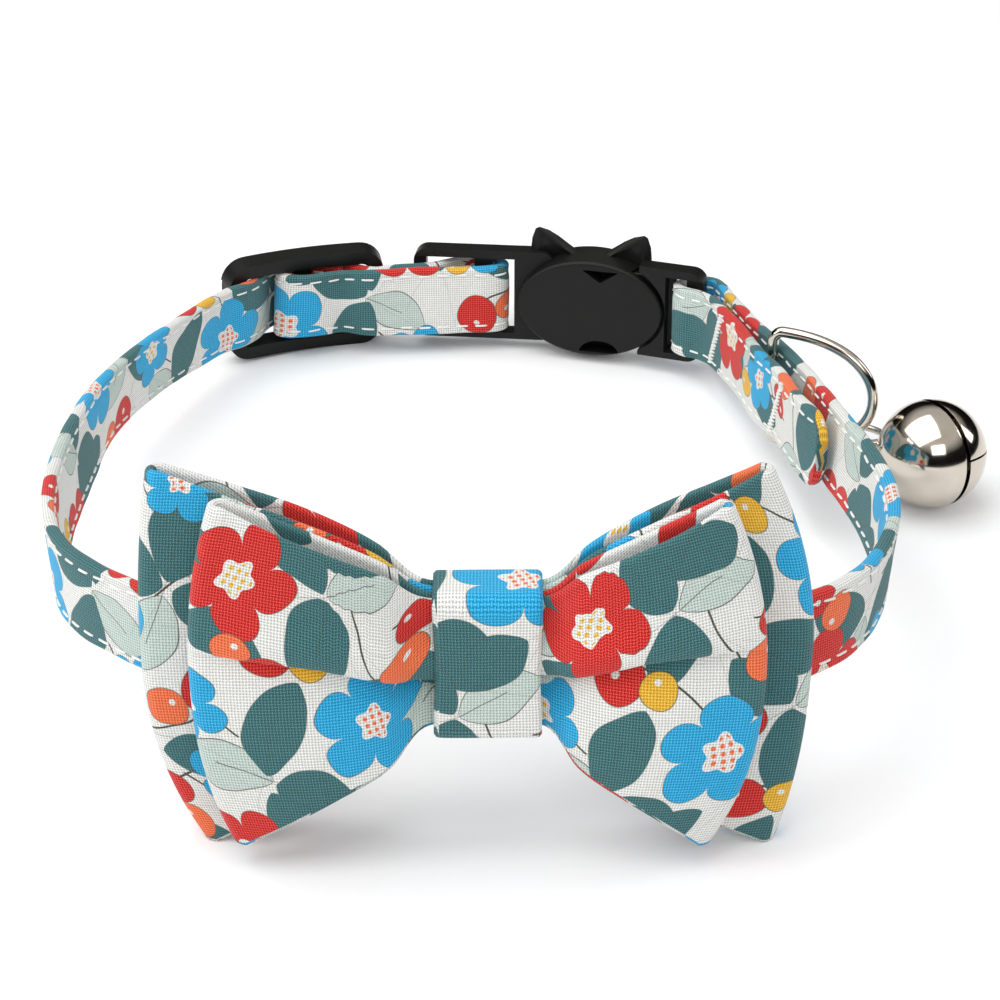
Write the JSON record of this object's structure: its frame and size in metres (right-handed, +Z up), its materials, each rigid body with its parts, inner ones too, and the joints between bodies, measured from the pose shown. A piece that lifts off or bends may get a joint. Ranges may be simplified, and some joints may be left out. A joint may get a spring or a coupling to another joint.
{
  "type": "pet bow tie collar",
  "caption": "Adjustable small pet collar in printed cotton with a double bow tie, a breakaway buckle, a slider and a round bell on a D-ring.",
  "frame": {"origin": "middle of the footprint on the surface that the collar rests on, under the neck opening", "axes": "+Z up across the strap's width, -Y the front where the bow is, +Y the back where the buckle is, +X the wearer's left side with the bell"},
  "size_m": [0.1138, 0.1188, 0.0415],
  "materials": {
    "strap_cotton": "printed plain-weave cotton with white topstitching",
    "bow_cotton": "printed plain-weave cotton",
    "elastic": "woven black elastic",
    "moulded_plastic": "black moulded acetal, fine satin grain",
    "nickel_plate": "polished nickel plate"
  },
  "bodies": {
    "root": {"collar_strap": "strap_cotton", "strap_slider": "moulded_plastic", "buckle_socket": "moulded_plastic", "buckle_plug": "moulded_plastic", "d_ring": "nickel_plate", "bow_back": "bow_cotton", "bow_front": "bow_cotton", "bow_knot": "bow_cotton", "bow_loop": "elastic", "bell": "nickel_plate"}
  },
  "joints": []
}
